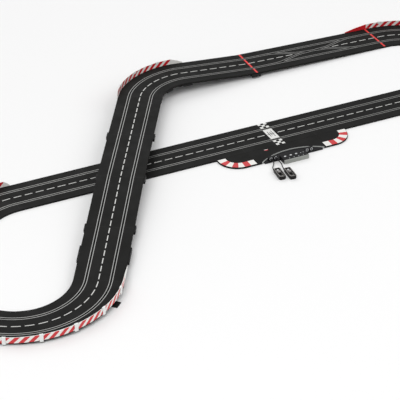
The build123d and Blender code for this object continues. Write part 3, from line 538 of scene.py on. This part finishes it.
# ======================================================================================
#  Control unit
# ======================================================================================
ROUND_STEPS = 28
SUNK = 0.2                                    # bezels, the controllers' pale rings (the top one a painted highlight) and collars start this far inside
BUTTON_RIM, BUTTON_RIM_W, BUTTON_RIM_H = (7.2, 5.2), 1.1, 0.35
LAMP_RIM, LAMP_RIM_W, LAMP_RIM_H = (3.4, 3.4), 1.0, 0.25
RIBS, RIB_LOW, RIB_PITCH, RIB_H, RIB_END = 5, 3.4, 3.0, 1.1, 3.0
RIB_PROUD, RIB_IN = 0.5, 0.3
COLLAR_PROUD = 0.8
COLLAR_LEFT, COLLAR_RIGHT = (7.2, 5.75), (6.4, 4.2)         # outer and inner radius


def ring_wall(shape, outline, width, low, high):
    """A closed band of the given width inside a rounded outline, from low to high."""
    outer, inner = outline(0.0), outline(width)
    shape.run([[(*a, low), (*b, low), (*b, high), (*a, high)] for a, b in zip(outer, inner)], closed=True)


def oval(cx, cy, rx, ry, count=ROUND_STEPS):
    def outline(inset):
        return [(cx + (rx - inset) * cos(2 * pi * k / count),
                 cy + (ry - inset) * sin(2 * pi * k / count)) for k in range(count)]
    return outline


def collar(shape, x, outer, inner):
    """A ring standing on the front face of a socket block."""
    rings = []
    back, front = SOCKET_Y + SUNK, SOCKET_Y - COLLAR_PROUD
    for k in range(ROUND_STEPS):
        turn = 2 * pi * k / ROUND_STEPS
        rings.append([(x + r * cos(turn), y, SOCKET_Z + r * sin(turn))
                      for r, y in ((inner, back), (outer, back), (outer, front), (inner, front))])
    shape.run(rings, closed=True)


def control_unit():
    bezels, ribs, collars = Shape(), Shape(), Shape()
    for x in BUTTONS.values():
        ring_wall(bezels, oval(x, BUTTON_Y, *BUTTON_RIM), BUTTON_RIM_W, UNIT_H - SUNK, UNIT_H + BUTTON_RIM_H)
    for x, y in LAMPS:
        ring_wall(bezels, oval(x, y, *LAMP_RIM), LAMP_RIM_W, UNIT_H - SUNK, UNIT_H + LAMP_RIM_H)
    bezels.make("unit_bezels", SUPPORT, slot="unit_black")
    for k in range(RIBS):
        z = RIB_LOW + RIB_PITCH * k
        block(ribs, UNIT_X[0] + RIB_END, UNIT_X[1] - RIB_END, UNIT_FRONT - RIB_PROUD, UNIT_FRONT + RIB_IN,
              z, z + RIB_H)
    ribs.make("unit_front_ribs", FACE, slot="unit_grey")
    for x in SOCKETS_LEFT:
        collar(collars, x, *COLLAR_LEFT)
    for x in SOCKETS_RIGHT:
        collar(collars, x, *COLLAR_RIGHT)
    collars.make("socket_collars", BUTTON, slot="button_grey")


# ======================================================================================
#  Hand controllers
# ======================================================================================
CORNER_STEPS = 6
# Pale rings of a controller, the first of them a painted highlight along the top outline: x, y, width,
# length, corner radius, band width, floor they stand on, height.
PALE_RINGS = ((0, 0, HAND_W - 3.0, HAND_L - 3.0, 6.5, 1.3, HAND_TOP, 0.15),
         (0, -3, 18.6, 42.0, 5.0, 0.8, WELL_FLOOR, 0.22),
         (0, 22, 12.4, 12.4, 6.0, 0.9, WELL_FLOOR, 0.5),
         (0, -28.5, 9.0, 5.0, 2.2, 1.0, WELL_FLOOR, 0.5))
GRIPS, GRIPS_Y, GRIP_PITCH = 4, 6.0, 3.0
GRIP_HALF_L, GRIP_HALF_W, GRIP_H = 5, 0.5, 0.45


def rounded(cx, cy, wide, long, corner, place):
    def outline(inset):
        r = max(corner - inset, 0.6)
        hx, hy = wide / 2 - inset - r, long / 2 - inset - r
        points = []
        for quarter, (sx, sy) in enumerate(((1, 1), (-1, 1), (-1, -1), (1, -1))):
            for k in range(CORNER_STEPS + 1):
                angle = radians(90 * quarter + 90 / CORNER_STEPS * k)
                points.append(place(cx + sx * hx + r * cos(angle), cy + sy * hy + r * sin(angle)))
        return points
    return outline


def hand_details(number, hand):
    hx, hy, yaw = hand
    c, s = cos(radians(yaw)), sin(radians(yaw))

    def place(x, y):
        return hx + c * x - s * y, hy + s * x + c * y

    rings_and_highlight = Shape()
    # the first ring, along the controller's top outline, is a painted highlight
    for x, y, wide, long, corner, band, floor, high in PALE_RINGS:
        ring_wall(rings_and_highlight, rounded(x, y, wide, long, corner, place), band, floor - SUNK, floor + high)
    rings_and_highlight.make(f"controller_{number}_trim", PALE_TRIM_AND_HIGHLIGHT, slot="throttle_grey")
    grips = Shape()
    for k in range(GRIPS):
        y = GRIPS_Y + (k - (GRIPS - 1) / 2) * GRIP_PITCH
        corners = [place(x, y + d) for x, d in ((-GRIP_HALF_L, -GRIP_HALF_W), (GRIP_HALF_L, -GRIP_HALF_W),
                                                (GRIP_HALF_L, GRIP_HALF_W), (-GRIP_HALF_L, GRIP_HALF_W))]
        grips.run([[(*p, z) for p in corners] for z in (THROTTLE_TOP - SUNK, THROTTLE_TOP + GRIP_H)])
    grips.make(f"controller_{number}_grips", PALE_TRIM_AND_HIGHLIGHT, body=f"throttle_{number}", slot="throttle_grey")


# ======================================================================================
#  Cords
# ======================================================================================
CORD_D = 4.0
CORD_ROUTES = (
    ((590.0, -212.0, 12.5), (590.0, -221.0, 12.5), (587.6, -230.5, 11.7), (582.6, -239.0, 10.3),
     (576.6, -246.8, 8.7), (570.2, -254.6, 7.3), (566.2, -263.33, 6.5), (565.46, -271.8, 6.5)),
    ((613.0, -212.0, 12.5), (613.0, -227.0, 12.5), (615.2, -243.5, 10.8), (612.4, -260.0, 8.0),
     (608.004, -275.591, 6.5), (607.062, -287.554, 6.5)),
)
CORD_LENGTHS = (66.8, 76.8)
RELIEF_L, RELIEF_END_R, RELIEF_BITE = 6.0, 2.25, 0.2
RELIEF_PLUG_R, RELIEF_HAND_R = 3.6, 3.3
RELIEF_STEPS = 20


def taper(shape, start, along, length, r0, r1):
    """A strain relief round a cord: hollow, thick at the start and thin at the far end."""
    side = along.cross(Vector((0, 0, 1))).normalized()
    up = side.cross(along).normalized()
    rings = []
    bore = CORD_D / 2 - RELIEF_BITE
    for k in range(RELIEF_STEPS):
        turn = 2 * pi * k / RELIEF_STEPS
        ray = side * cos(turn) + up * sin(turn)
        rings.append([start + ray * bore, start + ray * r0,
                      start + along * length + ray * r1, start + along * length + ray * bore])
    shape.run(rings, closed=True)


def make_cord(number, route, length):
    points = [Vector(p) for p in route]
    curve = bpy.data.curves.new(f"cord_{number}", "CURVE")
    curve.dimensions = "3D"
    curve.bevel_depth = CORD_D / 2 * MM
    curve.bevel_resolution = 6
    curve.resolution_u = 16
    spline = curve.splines.new("NURBS")
    spline.points.add(len(points) - 1)
    for at, point in zip(spline.points, points):
        at.co = (*(point * MM), 1)
    spline.order_u = 3
    spline.use_endpoint_u = True
    curve.materials.append(CORD)
    made = bpy.data.objects.new(f"cord_{number}", curve)
    bpy.context.scene.collection.objects.link(made)
    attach(made, FIXED)
    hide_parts(f"controller_{number}_cord")
    relief = Shape()
    for at, inner, radius in ((points[0], points[1], RELIEF_PLUG_R), (points[-1], points[-2], RELIEF_HAND_R)):
        taper(relief, at, (inner - at).normalized(), RELIEF_L, radius, RELIEF_END_R)
    boots = relief.make(f"cord_{number}_reliefs", CORD, slot="cord_black")
    [c * MM for c in route[0]]


for number, (route, length) in enumerate(zip(CORD_ROUTES, CORD_LENGTHS), start=1):
    make_cord(number, route, length)

centre_dashes()
joint_lines()
change_lines()
start_strip()
kerbs()
apron_mark()
guard_stripes("guard_stripes_right", RIGHT_CURVES)
guard_stripes("guard_stripes_top_left", [TOP_LEFT_CURVE])
guard_stripes("guard_stripes_left", LEFT_CURVES)
paint_guard_ends()
control_unit()
for number, hand in enumerate(HANDS, start=1):
    hand_details(number, hand)


# ======================================================================================
#  Floor and light
# ======================================================================================
FLOOR_HALF = 30.0
FLOOR_GREY, FLOOR_ROUGH = 0.88, 0.9
LIT_POINT = Vector((0.4, -0.2, 0))
WORLD_STRENGTH = 0.62
LIGHTS = (("key", (-3.0, -3.5, 6.0), 4.0, 190.0), ("fill", (5.0, -2.5, 5.0), 5.0, 120.0),
          ("back", (0.5, 5.5, 5.0), 5.0, 105.0))            # name, place, size in metres, watts


def plain(name, colour, rough):
    made = bpy.data.materials.new(name)
    made.use_nodes = True
    shader = made.node_tree.nodes["Principled BSDF"]
    shader.inputs["Base Color"].default_value = (*colour, 1)
    shader.inputs["Roughness"].default_value = rough
    return made


def make_stage():
    mesh = bpy.data.meshes.new("floor")
    corners = [(x * FLOOR_HALF, y * FLOOR_HALF, 0) for x, y in ((-1, -1), (1, -1), (1, 1), (-1, 1))]
    mesh.from_pydata(corners, [], [(0, 1, 2, 3)])
    mesh.materials.append(plain("floor", (FLOOR_GREY,) * 3, FLOOR_ROUGH))
    floor = bpy.data.objects.new("floor", mesh)
    bpy.context.scene.collection.objects.link(floor)
    for name, at, size, power in LIGHTS:
        light = bpy.data.lights.new(name, "AREA")
        light.size = size
        light.energy = power
        lamp = bpy.data.objects.new(name, light)
        lamp.location = at
        aim = LIT_POINT - Vector(at)
        lamp.rotation_mode = "QUATERNION"
        lamp.rotation_quaternion = aim.to_track_quat("-Z", "Y")
        bpy.context.scene.collection.objects.link(lamp)
    world = bpy.data.worlds.new("world")
    world.use_nodes = True
    world.node_tree.nodes["Background"].inputs["Color"].default_value = (1, 1, 1, 1)
    world.node_tree.nodes["Background"].inputs["Strength"].default_value = WORLD_STRENGTH
    bpy.context.scene.world = world
    bpy.context.scene.view_settings.view_transform = "Standard"


make_stage()
